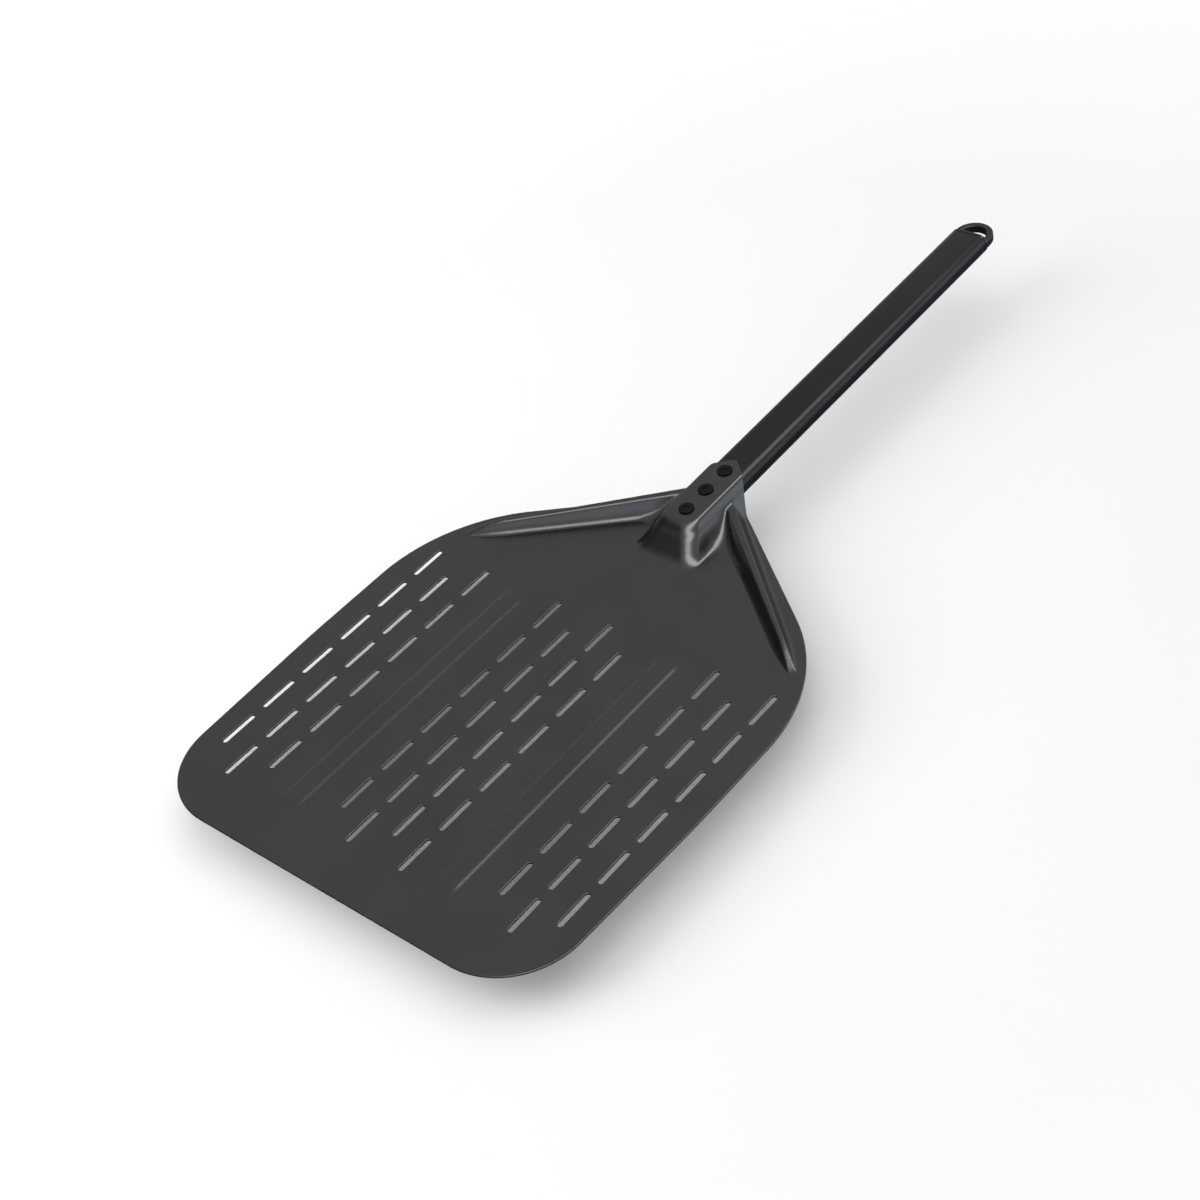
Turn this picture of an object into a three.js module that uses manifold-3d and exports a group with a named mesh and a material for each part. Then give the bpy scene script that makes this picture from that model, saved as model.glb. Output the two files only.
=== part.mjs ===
// A perforated pizza peel: one pressed aluminium sheet, with slots, stiffening beads, two diagonal
// ribs and a raised socket, blind-riveted onto a rounded rectangular tube handle whose far end is
// closed by a moulded cap with a hanging eye.
//
// Frame, in millimetres: +Z up, the sheet lies flat on z = 0 and the handle runs along +Y. The origin
// is under the middle of the whole peel, X is the width of the blade and x = 0 is its mirror plane.

import * as THREE from 'three';
import { ConvexGeometry } from 'three/addons/geometries/ConvexGeometry.js';
import { mergeVertices } from 'three/addons/utils/BufferGeometryUtils.js';
import Module from 'manifold-3d';

const wasm = await Module();
wasm.setup();

// ---------------------------------------------------------------- driving dimensions, millimetres

const OVERALL_LENGTH = 680; // front edge of the blade to the tip of the hanging eye
const GAP = 0.3; // clearance between two pieces that fit or rest on each other

// Blade outline, each length measured back from the straight front edge unless said otherwise
const BLADE_WIDTH = 304;
const BLADE_LENGTH = 389; // front edge to the point of the tongue over the handle
const SHEET = 1.5; // thickness of the aluminium
const SIDE_TAPER = 4.9; // how much each side has drawn in at the front corner
const FRONT_CORNER_RADIUS = 50;
const SHOULDER_RADIUS = 117;
const SHOULDER_ANGLE = THREE.MathUtils.degToRad(37); // of the diagonal edges, from straight across
const FULL_WIDTH_STRETCH = 64.5; // side at full width, in front of the shoulder's round
const NECK_SETBACK = 23.6; // neck, in front of the point of the tongue
const TONGUE_SETBACK = 10.5; // outer corners of the tongue, in front of its point
const TONGUE_POINT_RADIUS = 3;

// Slots: three columns on each side, four in the middle, every second column half a pitch forward
const SLOT_LENGTH = 25.6;
const SLOT_WIDTH = 3.5;
const SLOT_PITCH = 33.7; // along a column
const COLUMN_PITCH = 20.5; // from column to column in a group
const SIDE_COLUMNS = 3;
const MIDDLE_COLUMNS = 4;
const COLUMN_TO_SIDE = 20; // outermost column to the side of the blade
const FIRST_SLOT_BACK = 63; // centre of the first slot in the columns that aren't moved forward
const SLOTS_TO_RIB = 15; // the columns end at least this far in front of the diagonal ribs

// Two long shallow beads between the groups of slots
const BEAD_WIDTH = 17;
const BEAD_HEIGHT = 0.6;
const BEAD_SIDE = 3.2; // width of its sloping flank
const BEAD_CORNER_RADIUS = 5;
const BEAD_FRONT_BACK = 31; // front end of a bead
const BEAD_SHORTER = 2.5; // its rear end, in front of the last slots' ends

// Two diagonal ribs, nearly parallel to the shoulder edges, growing towards the socket
const RIB_INSET = 10; // crest line to the shoulder edge, at the neck
const RIB_ANGLE = THREE.MathUtils.degToRad(39.3); // of the crest line, from straight across
const RIB_TO_SIDE = 24; // low end to the side of the blade
const RIB_LOW_HEIGHT = 4.8;
const RIB_HIGH_HEIGHT = 12.8;
const RIB_CREST_RADIUS = 3;
const RIB_CREST = 1; // half distance between the centres of the two crest rounds
const RIB_FOOT = 4.5; // half distance between the centres of the two foot rounds

// Handle tube: a rounded rectangle, rising slightly from the blade
const TUBE_WIDTH = 27.8;
const TUBE_HEIGHT = 14.5;
const TUBE_WALL = 1.5;
const TUBE_CORNER_RADIUS = 6;
const TUBE_LIFT = 3.6; // underside of the tube's front end above the bench
const TUBE_RISE = THREE.MathUtils.degToRad(1.65);

// Socket pressed up over the front end of the tube
const SOCKET_WALL_SLOPE = THREE.MathUtils.degToRad(63);
const SOCKET_FRONT_SLOPE = THREE.MathUtils.degToRad(48);
const SOCKET_EDGE_RADIUS = 3.5;
const SOCKET_FRONT_ROOM = 3; // inside the socket, in front of the tube

// Blind rivets along the middle of the socket
const RIVET_COUNT = 3;
const RIVET_PITCH = 20;
const RIVET_TO_POINT = 12.2; // last rivet to the point of the tongue
const RIVET_TO_TUBE_END = 10.5; // first rivet to the front end of the tube
const RIVET_DIAMETER = 4.8;
const RIVET_HEAD_DIAMETER = 10;
const RIVET_HEAD_HEIGHT = 1.6;
const RIVET_BULB_DIAMETER = 7.2;
const RIVET_BULB_HEIGHT = 3;
const RIVET_RIM = 0.3; // upright edge of the head, under its dome
const RIVET_BULB_CHAMFER = 0.8;
const MANDREL_DIAMETER = 2.4;
const MANDREL_HEAD_DIAMETER = 4.2;
const MANDREL_HEAD_HEIGHT = 2;
const MANDREL_HEAD_CHAMFER = 0.8;
const MANDREL_SUNK = 0.5; // its broken end below the top of the head

// End cap with its hanging eye
const CAP_FLANGE = 2.4;
const CAP_PLUG_LENGTH = 24;
const CAP_PLUG_CHAMFER = 1.5;
const EYE_BAND = 4.7; // width of the band around the eye
const EYE_THICKNESS = 6.2;
const EYE_STRAIGHT = 3.6; // before the half circle starts
const EYE_BEVEL = 0.9;

// How finely the rounds are divided
const BALL_STEPS = 6; // a ball, from pole to pole
const DOME_STEPS = 4; // a rivet's dome, from its rim to its middle
const ROUND_SIDES = 24; // pins, holes and rivets
const CURVE_STEPS = 6; // each arc of the blade's outline and slots

// ---------------------------------------------------------------- places that follow from them

const frontY = -OVERALL_LENGTH / 2;
const halfBlade = BLADE_WIDTH / 2;
const pointY = frontY + BLADE_LENGTH;
const neckY = pointY - NECK_SETBACK;
const tubeFrontY = pointY - RIVET_TO_POINT - (RIVET_COUNT - 1) * RIVET_PITCH - RIVET_TO_TUBE_END;
const eyeRadius = TUBE_WIDTH / 2;
const capReach = GAP + CAP_FLANGE + EYE_STRAIGHT + eyeRadius; // tube's rear end to the eye's tip
const tubeLength = (OVERALL_LENGTH / 2 - tubeFrontY) / Math.cos(TUBE_RISE) - capReach;

// The socket's section, in the tube's own frame with z = 0 on the tube's axis. Its top lies over the
// tube's top, and each wall runs down and out, touching the round of the tube's corner through the gap.
const wrap = GAP + SHEET;
const socketTop = TUBE_HEIGHT / 2 + wrap;
const tubeRoundX = TUBE_WIDTH / 2 - TUBE_CORNER_RADIUS;
const tubeRoundZ = TUBE_HEIGHT / 2 - TUBE_CORNER_RADIUS;

/** Half width of the socket at a height, its outer surface moved inwards by an amount. */
function socketHalfWidth(z, inwards = 0) {
  const reach = TUBE_CORNER_RADIUS + wrap - inwards;
  return tubeRoundX + (reach - Math.cos(SOCKET_WALL_SLOPE) * (z - tubeRoundZ)) / Math.sin(SOCKET_WALL_SLOPE);
}

/** Height of the tube's axis above the bench at a world y. */
function tubeAxisHeight(y) {
  return TUBE_LIFT + TUBE_HEIGHT / 2 + (y - tubeFrontY) * Math.tan(TUBE_RISE);
}

// The neck is where the feet of the socket's walls reach the diagonal edges.
const neckHalfWidth = socketHalfWidth(SHEET - tubeAxisHeight(neckY));
const shoulderY = neckY - (halfBlade - neckHalfWidth) * Math.tan(SHOULDER_ANGLE);
const shoulderRoundY = shoulderY - SHOULDER_RADIUS * Math.tan((Math.PI / 2 - SHOULDER_ANGLE) / 2);
const widestY = shoulderRoundY - FULL_WIDTH_STRETCH;

// ---------------------------------------------------------------- helpers

/** Merged, closed solid of a three.js geometry, with a placing matrix. */
function solidOf(geometry, matrix = new THREE.Matrix4()) {
  const bare = geometry.clone().applyMatrix4(matrix);
  bare.deleteAttribute('normal');
  bare.deleteAttribute('uv');
  const merged = mergeVertices(bare, 1e-4);
  return new wasm.Manifold(
    new wasm.Mesh({
      numProp: 3,
      vertProperties: new Float32Array(merged.attributes.position.array),
      triVerts: new Uint32Array(merged.index.array),
    }),
  );
}

/** three.js geometry of a solid. */
function geometryOf(solid) {
  const mesh = solid.getMesh();
  const geometry = new THREE.BufferGeometry();
  geometry.setAttribute('position', new THREE.BufferAttribute(new Float32Array(mesh.vertProperties), 3));
  geometry.setIndex(new THREE.BufferAttribute(new Uint32Array(mesh.triVerts), 1));
  geometry.computeVertexNormals();
  return geometry;
}

/** Closed path through counter-clockwise corners [x, y, radius], each one rounded. */
function roundedPath(corners, PathClass = THREE.Path) {
  const path = new PathClass();
  corners.forEach(([x, y, radius = 0], i) => {
    const corner = new THREE.Vector2(x, y);
    if (radius === 0) {
      if (i === 0) path.moveTo(x, y);
      else path.lineTo(x, y);
      return;
    }
    const [beforeX, beforeY] = corners[(i + corners.length - 1) % corners.length];
    const [afterX, afterY] = corners[(i + 1) % corners.length];
    const back = new THREE.Vector2(beforeX, beforeY).sub(corner).normalize();
    const onward = new THREE.Vector2(afterX, afterY).sub(corner).normalize();
    const halfAngle = Math.acos(back.dot(onward)) / 2;
    const centre = back.clone().add(onward).normalize();
    centre.multiplyScalar(radius / Math.sin(halfAngle)).add(corner);
    const start = back.multiplyScalar(radius / Math.tan(halfAngle)).add(corner).sub(centre);
    const end = onward.clone().multiplyScalar(radius / Math.tan(halfAngle)).add(corner).sub(centre);
    const leftTurn = start.cross(end) > 0;
    if (i === 0) path.moveTo(centre.x + start.x, centre.y + start.y);
    path.absarc(centre.x, centre.y, radius, start.angle(), end.angle(), !leftTurn);
  });
  path.closePath();
  return path;
}

/** Rounded rectangle about the origin, as a Shape or a hole. */
function roundedRectangle(width, height, radius, PathClass = THREE.Shape) {
  const x = width / 2;
  const y = height / 2;
  const corners = [
    [x, -y, radius],
    [x, y, radius],
    [-x, y, radius],
    [-x, -y, radius],
  ];
  return roundedPath(corners, PathClass);
}

/** Convex form with every edge rounded: the hull of a ball on each corner. */
function roundedHull(corners, radius) {
  const points = [];
  for (const corner of corners) {
    for (let polar = 0; polar <= BALL_STEPS; polar += 1) {
      const ring = polar === 0 || polar === BALL_STEPS ? 1 : 2 * BALL_STEPS;
      for (let turn = 0; turn < ring; turn += 1) {
        const step = Math.PI / BALL_STEPS;
        const point = new THREE.Vector3().setFromSphericalCoords(radius, polar * step, turn * step);
        points.push(new THREE.Vector3(point.x, point.z, point.y).add(corner));
      }
    }
  }
  return new ConvexGeometry(points);
}

/** Vertical cylinder of a height, standing on z = 0. */
function pin(diameter, height) {
  const cylinder = new THREE.CylinderGeometry(diameter / 2, diameter / 2, height, ROUND_SIDES);
  return cylinder.rotateX(Math.PI / 2).translate(0, 0, height / 2);
}

/** Extrusion of a section drawn in x and z, running from y = 0 along +Y. */
function alongHandle(section, length, curveSegments) {
  const geometry = new THREE.ExtrudeGeometry(section, { depth: length, bevelEnabled: false, curveSegments });
  return geometry.rotateX(-Math.PI / 2);
}

function material(color, roughness, metalness) {
  return new THREE.MeshStandardMaterial({ color, roughness, metalness });
}

const anodised = () => material(0x454547, 0.42, 0.85);
const blackAnodised = () => material(0x17181a, 0.38, 0.6);
const darkSteel = () => material(0x3a3a3c, 0.4, 1);
const blackPlastic = () => material(0x0c0c0d, 0.22, 0);

// ---------------------------------------------------------------- the tube's own frame

const peel = new THREE.Group();
const handle = new THREE.Group();
handle.position.set(0, tubeFrontY, TUBE_LIFT + TUBE_HEIGHT / 2);
handle.rotation.x = TUBE_RISE;
handle.updateMatrix();
peel.add(handle);

/** Place of each rivet in the tube's frame, on the socket's top. */
const rivetPlaces = Array.from(
  { length: RIVET_COUNT },
  (_, i) => new THREE.Vector3(0, RIVET_TO_TUBE_END + i * RIVET_PITCH, socketTop),
);
const rivetNames = ['front', 'middle', 'rear'];

// ---------------------------------------------------------------- blade head

/** Outline of the flat blank: straight front, tapered sides, diagonal shoulders, pointed tongue. */
function bladeOutline() {
  const rightSide = [
    [halfBlade - SIDE_TAPER, frontY, FRONT_CORNER_RADIUS],
    [halfBlade, widestY],
    [halfBlade, shoulderY, SHOULDER_RADIUS],
    [neckHalfWidth, neckY],
    [socketHalfWidth(socketTop), pointY - TONGUE_SETBACK],
  ];
  const leftSide = rightSide.map(([x, y, radius]) => [-x, y, radius]).reverse();
  return roundedPath([...rightSide, [0, pointY, TONGUE_POINT_RADIUS], ...leftSide], THREE.Shape);
}

/** The crest line of the right-hand rib, from its low end to inside the socket. */
function ribLine() {
  const along = new THREE.Vector2(-Math.cos(RIB_ANGLE), Math.sin(RIB_ANGLE));
  const inboard = new THREE.Vector2(-Math.sin(RIB_ANGLE), -Math.cos(RIB_ANGLE));
  const onCrest = new THREE.Vector2(neckHalfWidth, neckY).addScaledVector(inboard, RIB_INSET);
  const at = (x) => onCrest.clone().addScaledVector(along, (x - onCrest.x) / along.x);
  return { low: at(halfBlade - RIB_TO_SIDE), high: at(socketHalfWidth(0) - wrap), across: inboard };
}

/** Places of the slots: [x, y] of each centre. */
function slotPlaces() {
  const lastEnd = ribLine().low.y - SLOTS_TO_RIB;
  const firstY = frontY + FIRST_SLOT_BACK;
  const rows = 1 + Math.floor((lastEnd - firstY - SLOT_LENGTH / 2) / SLOT_PITCH);
  const middle = Array.from({ length: MIDDLE_COLUMNS }, (_, i) => {
    return (i - (MIDDLE_COLUMNS - 1) / 2) * COLUMN_PITCH;
  });
  const right = Array.from({ length: SIDE_COLUMNS }, (_, i) => {
    return halfBlade - COLUMN_TO_SIDE - (SIDE_COLUMNS - 1 - i) * COLUMN_PITCH;
  });
  const left = right.map((x) => -x).reverse();
  const groups = [
    { columns: left, forward: [false, true, false] },
    { columns: middle, forward: [false, true, false, true] },
    { columns: right, forward: [false, true, false] },
  ];
  const places = [];
  for (const { columns, forward } of groups) {
    columns.forEach((x, column) => {
      for (let row = 0; row < rows; row += 1) {
        places.push([x, firstY + row * SLOT_PITCH - (forward[column] ? SLOT_PITCH / 2 : 0)]);
      }
    });
  }
  const beadX = (middle[MIDDLE_COLUMNS - 1] + right[0]) / 2;
  return { places, beadX, lastEnd: firstY + (rows - 1) * SLOT_PITCH + SLOT_LENGTH / 2 };
}

function slotHole([x, y]) {
  const radius = SLOT_WIDTH / 2;
  const straight = SLOT_LENGTH / 2 - radius;
  const hole = new THREE.Path();
  hole.absarc(x, y - straight, radius, Math.PI, 2 * Math.PI);
  hole.absarc(x, y + straight, radius, 0, Math.PI);
  return hole;
}

/** A bead's raised form; its underside is the same form one sheet lower. */
function beadForm(x, frontEnd, rearEnd) {
  const plan = roundedRectangle(BEAD_WIDTH, rearEnd - frontEnd, BEAD_CORNER_RADIUS);
  const geometry = new THREE.ExtrudeGeometry(plan, {
    depth: SHEET,
    bevelThickness: BEAD_HEIGHT,
    bevelSize: BEAD_SIDE,
    bevelOffset: -BEAD_SIDE,
    bevelSegments: 3,
    curveSegments: 2,
  });
  return geometry.translate(x, (frontEnd + rearEnd) / 2, 0);
}

/** Rounded ridge of one rib; a smaller ball radius gives its inside. */
function ribForm(side, inwards) {
  const { low, high, across } = ribLine();
  const balls = [];
  for (const [place, height] of [[low, RIB_LOW_HEIGHT], [high, RIB_HIGH_HEIGHT]]) {
    for (const half of [-1, 1]) {
      const crest = place.clone().addScaledVector(across, half * RIB_CREST);
      const foot = place.clone().addScaledVector(across, half * RIB_FOOT);
      balls.push(new THREE.Vector3(side * crest.x, crest.y, SHEET + height - RIB_CREST_RADIUS));
      balls.push(new THREE.Vector3(side * foot.x, foot.y, -RIB_CREST_RADIUS));
    }
  }
  return solidOf(roundedHull(balls, RIB_CREST_RADIUS - inwards));
}

/** The socket's outer form, or with inwards = SHEET its inside, in world coordinates. */
function socketForm(inwards) {
  const top = socketTop - SOCKET_EDGE_RADIUS;
  const bottom = -TUBE_LIFT - TUBE_HEIGHT - SOCKET_EDGE_RADIUS;
  const rear = pointY - tubeFrontY + BLADE_LENGTH / 2;
  const topFront = -SOCKET_FRONT_ROOM - wrap + SOCKET_EDGE_RADIUS;
  const bottomFront = topFront - (top - bottom) / Math.tan(SOCKET_FRONT_SLOPE);
  const balls = [];
  for (const side of [-1, 1]) {
    for (const [z, front] of [[top, topFront], [bottom, bottomFront]]) {
      const x = side * socketHalfWidth(z, SOCKET_EDGE_RADIUS);
      balls.push(new THREE.Vector3(x, front, z), new THREE.Vector3(x, rear, z));
    }
  }
  return solidOf(roundedHull(balls, SOCKET_EDGE_RADIUS - inwards), handle.matrix);
}

function bladeHead() {
  const outline = bladeOutline();
  const blankDepth = TUBE_LIFT + TUBE_HEIGHT + OVERALL_LENGTH * Math.sin(TUBE_RISE);
  const plain = { bevelEnabled: false, curveSegments: CURVE_STEPS };
  const trim = solidOf(new THREE.ExtrudeGeometry(outline, { ...plain, depth: blankDepth }));

  const { places, beadX, lastEnd } = slotPlaces();
  outline.holes.push(...places.map(slotHole));
  let head = solidOf(new THREE.ExtrudeGeometry(outline, { ...plain, depth: SHEET }));

  let raised = socketForm(0);
  let hollow = socketForm(SHEET);
  for (const side of [-1, 1]) {
    raised = raised.add(ribForm(side, 0));
    hollow = hollow.add(ribForm(side, SHEET));
  }
  head = head.add(raised.intersect(trim)).subtract(hollow);

  for (const side of [-1, 1]) {
    const form = beadForm(side * beadX, frontY + BEAD_FRONT_BACK, lastEnd - BEAD_SHORTER);
    const lower = new THREE.Matrix4().makeTranslation(0, 0, -SHEET);
    head = head.add(solidOf(form)).subtract(solidOf(form, lower));
  }
  for (const { x, y, z } of rivetPlaces) {
    const hole = pin(RIVET_DIAMETER + 2 * GAP, TUBE_HEIGHT).translate(x, y, z - TUBE_HEIGHT / 2);
    head = head.subtract(solidOf(hole, handle.matrix));
  }
  const mesh = new THREE.Mesh(geometryOf(head), anodised());
  mesh.name = 'blade_head';
  return mesh;
}

// ---------------------------------------------------------------- handle tube

function handleTube() {
  const section = roundedRectangle(TUBE_WIDTH, TUBE_HEIGHT, TUBE_CORNER_RADIUS);
  const bore = roundedRectangle(
    TUBE_WIDTH - 2 * TUBE_WALL,
    TUBE_HEIGHT - 2 * TUBE_WALL,
    TUBE_CORNER_RADIUS - TUBE_WALL,
    THREE.Path,
  );
  section.holes.push(bore);
  let tube = solidOf(alongHandle(section, tubeLength, 4));
  for (const { x, y } of rivetPlaces) {
    tube = tube.subtract(solidOf(pin(RIVET_DIAMETER + 2 * GAP, TUBE_HEIGHT).translate(x, y, 0)));
  }
  const mesh = new THREE.Mesh(geometryOf(tube), anodised());
  mesh.name = 'handle_tube';
  return mesh;
}

// ---------------------------------------------------------------- blind rivets

// Heights in a rivet, with z = 0 on the socket's top
const gripEnd = -(SHEET + GAP + TUBE_WALL); // inner face of the tube's wall
const bulbTop = gripEnd - GAP;
const bulbEnd = bulbTop - RIVET_BULB_HEIGHT;

/** Hollow rivet body: domed head, sleeve through sheet and tube wall, bulb behind the wall. */
function rivetBody() {
  const bore = MANDREL_DIAMETER / 2 + GAP;
  const sleeve = RIVET_DIAMETER / 2;
  const head = RIVET_HEAD_DIAMETER / 2;
  const bulb = RIVET_BULB_DIAMETER / 2;
  const profile = [
    [bore, bulbEnd],
    [bulb - RIVET_BULB_CHAMFER, bulbEnd],
    [bulb, bulbEnd + RIVET_BULB_CHAMFER],
    [bulb, bulbTop - RIVET_BULB_CHAMFER],
    [bulb - RIVET_BULB_CHAMFER, bulbTop],
    [sleeve, bulbTop],
    [sleeve, GAP],
  ];
  const rimTop = GAP + RIVET_RIM;
  profile.push([head, GAP]);
  for (let step = 0; step < DOME_STEPS; step += 1) {
    const turn = (step / DOME_STEPS) * (Math.PI / 2);
    profile.push([head * Math.cos(turn), rimTop + (RIVET_HEAD_HEIGHT - rimTop) * Math.sin(turn)]);
  }
  profile.push([bore, RIVET_HEAD_HEIGHT], [bore, bulbEnd]);
  const geometry = new THREE.LatheGeometry(profile.map(([r, z]) => new THREE.Vector2(r, z)), ROUND_SIDES);
  return geometry.rotateX(Math.PI / 2);
}

/** What is left of the mandrel: a pin whose head has drawn up against the bulb. */
function rivetMandrel() {
  const shank = MANDREL_DIAMETER / 2;
  const head = MANDREL_HEAD_DIAMETER / 2;
  const headTop = bulbEnd - GAP;
  const profile = [
    [0, headTop - MANDREL_HEAD_HEIGHT],
    [head - MANDREL_HEAD_CHAMFER, headTop - MANDREL_HEAD_HEIGHT],
    [head, headTop - MANDREL_HEAD_HEIGHT + MANDREL_HEAD_CHAMFER],
    [head, headTop],
    [shank, headTop],
    [shank, RIVET_HEAD_HEIGHT - MANDREL_SUNK],
    [0, RIVET_HEAD_HEIGHT - MANDREL_SUNK],
  ];
  const geometry = new THREE.LatheGeometry(profile.map(([r, z]) => new THREE.Vector2(r, z)), ROUND_SIDES);
  return geometry.rotateX(Math.PI / 2);
}

function rivet(name, place) {
  const body = new THREE.Mesh(rivetBody(), blackAnodised());
  body.name = `rivet_${name}_body`;
  const mandrel = new THREE.Mesh(rivetMandrel(), darkSteel());
  mandrel.name = `rivet_${name}_mandrel`;
  const group = new THREE.Group();
  group.position.copy(place);
  group.add(body, mandrel);
  return group;
}

// ---------------------------------------------------------------- end cap

/** One moulding: plug inside the tube, flange over its end, and a D-shaped hanging eye. */
function endCap() {
  const fit = 2 * (TUBE_WALL + GAP);
  const plugSection = roundedRectangle(TUBE_WIDTH - fit, TUBE_HEIGHT - fit, TUBE_CORNER_RADIUS - fit / 2);
  const plugGeometry = new THREE.ExtrudeGeometry(plugSection, {
    depth: CAP_PLUG_LENGTH - CAP_PLUG_CHAMFER + GAP,
    bevelThickness: CAP_PLUG_CHAMFER,
    bevelSize: CAP_PLUG_CHAMFER,
    bevelOffset: -CAP_PLUG_CHAMFER,
    bevelSegments: 1,
    curveSegments: 3,
  });
  plugGeometry.rotateX(-Math.PI / 2).translate(0, CAP_PLUG_CHAMFER - CAP_PLUG_LENGTH, 0);

  const flangeSection = roundedRectangle(TUBE_WIDTH, TUBE_HEIGHT, TUBE_CORNER_RADIUS);
  const flangeGeometry = alongHandle(flangeSection, CAP_FLANGE, 4).translate(0, GAP, 0);

  const rootY = GAP + CAP_FLANGE;
  const outside = new THREE.Shape();
  outside.moveTo(-eyeRadius, rootY - CAP_FLANGE / 2);
  outside.lineTo(eyeRadius, rootY - CAP_FLANGE / 2);
  outside.absarc(0, rootY + EYE_STRAIGHT, eyeRadius, 0, Math.PI);
  const bandGeometry = new THREE.ExtrudeGeometry(outside, {
    depth: EYE_THICKNESS - 2 * EYE_BEVEL,
    bevelThickness: EYE_BEVEL,
    bevelSize: EYE_BEVEL,
    bevelOffset: -EYE_BEVEL,
    bevelSegments: 2,
    curveSegments: 8,
  });
  bandGeometry.translate(0, 0, EYE_BEVEL - EYE_THICKNESS / 2);

  const openingRadius = eyeRadius - EYE_BAND;
  const opening = new THREE.Shape();
  opening.moveTo(-openingRadius, rootY);
  opening.lineTo(openingRadius, rootY);
  opening.absarc(0, rootY + EYE_STRAIGHT, openingRadius, 0, Math.PI);
  const openingGeometry = new THREE.ExtrudeGeometry(opening, {
    depth: 2 * EYE_THICKNESS,
    bevelEnabled: false,
    curveSegments: 8,
  });
  openingGeometry.translate(0, 0, -EYE_THICKNESS);

  const eye = solidOf(bandGeometry).subtract(solidOf(openingGeometry));
  const cap = solidOf(plugGeometry).add(solidOf(flangeGeometry)).add(eye);
  const mesh = new THREE.Mesh(geometryOf(cap), blackPlastic());
  mesh.name = 'end_cap';
  mesh.position.y = tubeLength;
  return mesh;
}

// ---------------------------------------------------------------- assembly

peel.add(bladeHead());
handle.add(handleTube(), endCap());
rivetPlaces.forEach((place, i) => handle.add(rivet(rivetNames[i], place)));

export default peel;
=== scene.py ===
"""Looks of the perforated pizza peel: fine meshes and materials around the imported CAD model.

Shapes are worked out in millimetres in the part's own frame (+Z up, handle along +Y, x = 0 is the
mirror plane) and turned into metres when a mesh is made. The camera and the lights are in metres.
"""

import math

import bpy
import numpy as np
from mathutils import Matrix, Vector
from mathutils.geometry import delaunay_2d_cdt


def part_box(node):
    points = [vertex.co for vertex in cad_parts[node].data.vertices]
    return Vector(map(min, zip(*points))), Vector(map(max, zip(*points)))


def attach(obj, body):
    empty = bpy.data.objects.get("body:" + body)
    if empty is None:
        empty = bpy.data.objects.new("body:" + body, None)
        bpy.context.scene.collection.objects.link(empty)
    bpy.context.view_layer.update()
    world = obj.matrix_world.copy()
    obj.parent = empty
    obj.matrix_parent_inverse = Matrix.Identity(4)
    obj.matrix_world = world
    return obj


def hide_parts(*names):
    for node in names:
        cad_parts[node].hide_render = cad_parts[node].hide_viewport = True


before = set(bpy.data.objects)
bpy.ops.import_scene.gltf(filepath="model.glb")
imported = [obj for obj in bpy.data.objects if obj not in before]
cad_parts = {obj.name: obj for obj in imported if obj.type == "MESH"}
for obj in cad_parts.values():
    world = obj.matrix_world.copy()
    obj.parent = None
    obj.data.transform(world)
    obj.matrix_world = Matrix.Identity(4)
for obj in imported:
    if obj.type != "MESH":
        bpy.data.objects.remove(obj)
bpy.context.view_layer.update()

MM = 0.001

# ---------------------------------------------------------------- sizes, millimetres

GAP = 0.3
SHEET = 1.5
SHEET_EDGE = 0.35  # round of every cut edge of the sheet

# Outline
SIDE_TAPER = 4.9
FRONT_CORNER_RADIUS = 50
WIDEST_RADIUS = 900  # slight bend of the side where the blade gets its full width
SHOULDER_RADIUS = 117
SHOULDER_ANGLE = math.radians(37)
FULL_WIDTH_STRETCH = 64.5
NECK_SETBACK = 23.6
NECK_RADIUS = 2
TONGUE_SETBACK = 10.5
TONGUE_CORNER_RADIUS = 2
TONGUE_POINT_RADIUS = 3

# Slots
SLOT_LENGTH = 25.6
SLOT_WIDTH = 3.5
SLOT_PITCH = 33.7
COLUMN_PITCH = 20.5
SIDE_COLUMNS = 3
MIDDLE_COLUMNS = 4
COLUMN_TO_SIDE = 20
FIRST_SLOT_BACK = 63
SLOT_ROWS = 6

# Beads
BEAD_WIDTH = 17
BEAD_HEIGHT = 0.8
BEAD_SIDE = 3.5
BEAD_END = 12  # length of the run-out at each end
BEAD_FRONT_BACK = 31
BEAD_SHORTER = 2.5

# Ribs
RIB_INSET = 10  # crest line to the shoulder edge, at the neck
RIB_ANGLE = math.radians(39.3)
RIB_HIGH_X = 16
RIB_HIGH = 12.2  # crest above the sheet at RIB_HIGH_X
RIB_HIGH_CREST = 2.6  # half width of the flat crest there
RIB_HIGH_FOOT = 8.4  # crest line to the feet of the walls there
RIB_GROWS_ON = 0.5  # share of the way from high to low by which it grows on inside the socket
RIB_LOW_X = 114  # from here the crest runs down to the sheet
RIB_LOW = 7.2
RIB_LOW_CREST = 1.2
RIB_LOW_FOOT = 5.0
RIB_END_X = 129
RIB_END_FOOT = 2.6
RIB_END_ROUND = 6  # reach of the bend where the crest starts to run down
RIB_END_NARROWS = 1.5  # the feet close in up to this many lengths of the run-out
RIB_END_SHARPER = 0.75  # share of the bend at the feet that is gone at the end

# Tube and socket
TUBE_HEIGHT = 14.5
TUBE_WALL = 1.5
TUBE_CORNER_RADIUS = 6
TUBE_RISE = math.radians(1.65)
TUBE_EDGE = 0.4
SOCKET_WALL_SLOPE = math.radians(63)
SOCKET_FRONT_SLOPE = math.radians(48)
SOCKET_EDGE_RADIUS = 3.5
SOCKET_FRONT_ROOM = 3

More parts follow.
